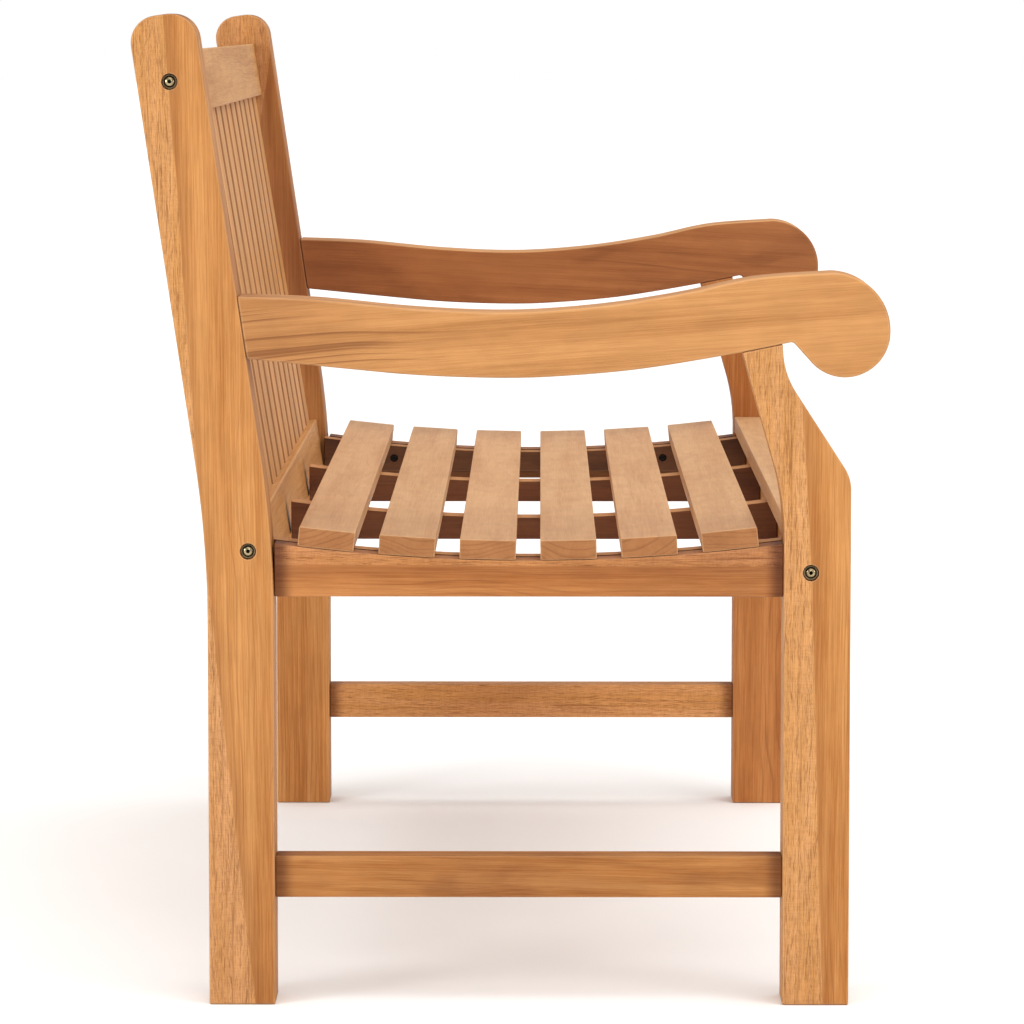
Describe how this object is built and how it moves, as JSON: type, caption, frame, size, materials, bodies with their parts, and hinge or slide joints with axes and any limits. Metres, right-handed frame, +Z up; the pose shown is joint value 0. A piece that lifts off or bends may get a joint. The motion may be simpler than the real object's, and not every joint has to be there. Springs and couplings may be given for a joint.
{
  "type": "garden bench",
  "caption": "Slatted teak garden bench with leaning back posts, scrolled arms, a dished seat and low side stretchers.",
  "frame": {"origin": "centre of the bounding box on the floor plane, midway between the legs", "axes": "+X along the seat towards the sitter's left, -Y is the way the sitter faces, +Z up"},
  "size_m": [1.2, 0.6828, 0.9],
  "materials": {
    "teak_frame": "sanded, satin",
    "teak_arm": "sanded, satin",
    "teak_seat": "sanded, satin",
    "teak_back": "sanded, satin",
    "aged_brass": "antiqued",
    "dark_steel": "dark plated"
  },
  "bodies": {
    "root": {"back_post_right": "teak_frame", "front_post_right": "teak_frame", "arm_right": "teak_arm", "side_apron_right": "teak_frame", "side_stretcher_right": "teak_frame", "seat_end_bearer_right": "teak_seat", "back_post_left": "teak_frame", "front_post_left": "teak_frame", "arm_left": "teak_arm", "side_apron_left": "teak_frame", "side_stretcher_left": "teak_frame", "seat_end_bearer_left": "teak_seat", "seat_bearer_1": "teak_seat", "seat_bearer_2": "teak_seat", "front_seat_rail": "teak_frame", "lower_back_rail": "teak_back", "top_rail": "teak_back", "back_slat_01": "teak_back", "back_slat_02": "teak_back", "back_slat_03": "teak_back", "back_slat_04": "teak_back", "back_slat_05": "teak_back", "back_slat_06": "teak_back", "back_slat_07": "teak_back", "back_slat_08": "teak_back", "back_slat_09": "teak_back", "back_slat_10": "teak_back", "back_slat_11": "teak_back", "back_slat_12": "teak_back", "back_slat_13": "teak_back", "back_slat_14": "teak_back", "seat_slat_1": "teak_seat", "seat_slat_2": "teak_seat", "seat_slat_3": "teak_seat", "seat_slat_4": "teak_seat", "seat_slat_5": "teak_seat", "seat_slat_6": "teak_seat", "seat_slat_7": "teak_seat", "bolt_top_right": "aged_brass", "barrel_nut_top_right": "aged_brass", "bolt_rear_right": "aged_brass", "barrel_nut_rear_right": "aged_brass", "bolt_front_right": "aged_brass", "barrel_nut_front_right": "aged_brass", "bearer_screw_rear_right": "dark_steel", "bearer_screw_front_right": "dark_steel", "bolt_top_left": "aged_brass", "barrel_nut_top_left": "aged_brass", "bolt_rear_left": "aged_brass", "barrel_nut_rear_left": "aged_brass", "bolt_front_left": "aged_brass", "barrel_nut_front_left": "aged_brass", "bearer_screw_rear_left": "dark_steel", "bearer_screw_front_left": "dark_steel"}
  },
  "joints": []
}
